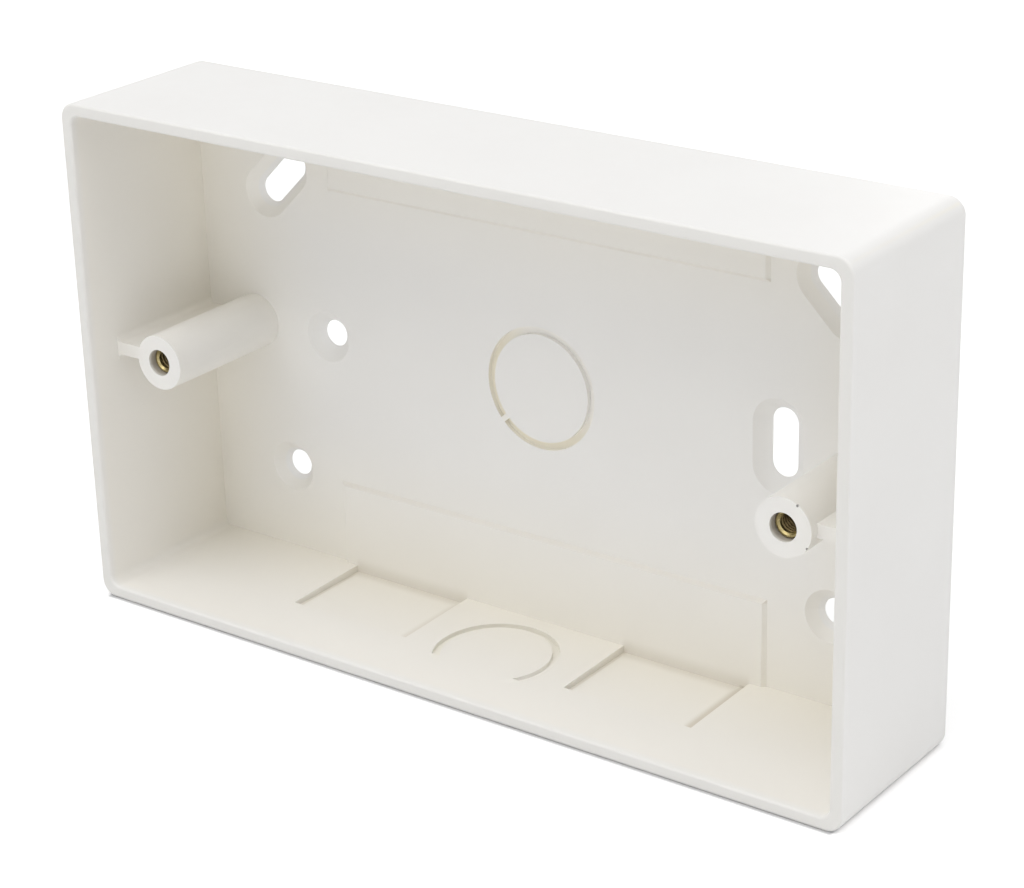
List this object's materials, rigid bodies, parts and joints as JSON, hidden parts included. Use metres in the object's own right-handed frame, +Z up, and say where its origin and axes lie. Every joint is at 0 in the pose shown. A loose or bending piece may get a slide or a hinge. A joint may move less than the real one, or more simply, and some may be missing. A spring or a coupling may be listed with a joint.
{
  "type": "surface back box",
  "caption": "Shallow rectangular surface back box for a double-width wiring accessory, open in front, with screw posts holding brass inserts, countersunk fixing holes and cable knockouts.",
  "frame": {"origin": "centre of the flat rear face, which lies on the wall", "axes": "+X to the right seen from the open front, +Y into the wall, +Z up; the open front looks along -Y"},
  "size_m": [0.147, 0.032, 0.088],
  "materials": {
    "white_pvc": "warm white moulded PVC with a soft, low sheen",
    "insert_brass": "plain turned brass, slightly dulled"
  },
  "bodies": {
    "root": {"back_box": "white_pvc", "insert_left": "insert_brass", "insert_right": "insert_brass"}
  },
  "joints": []
}
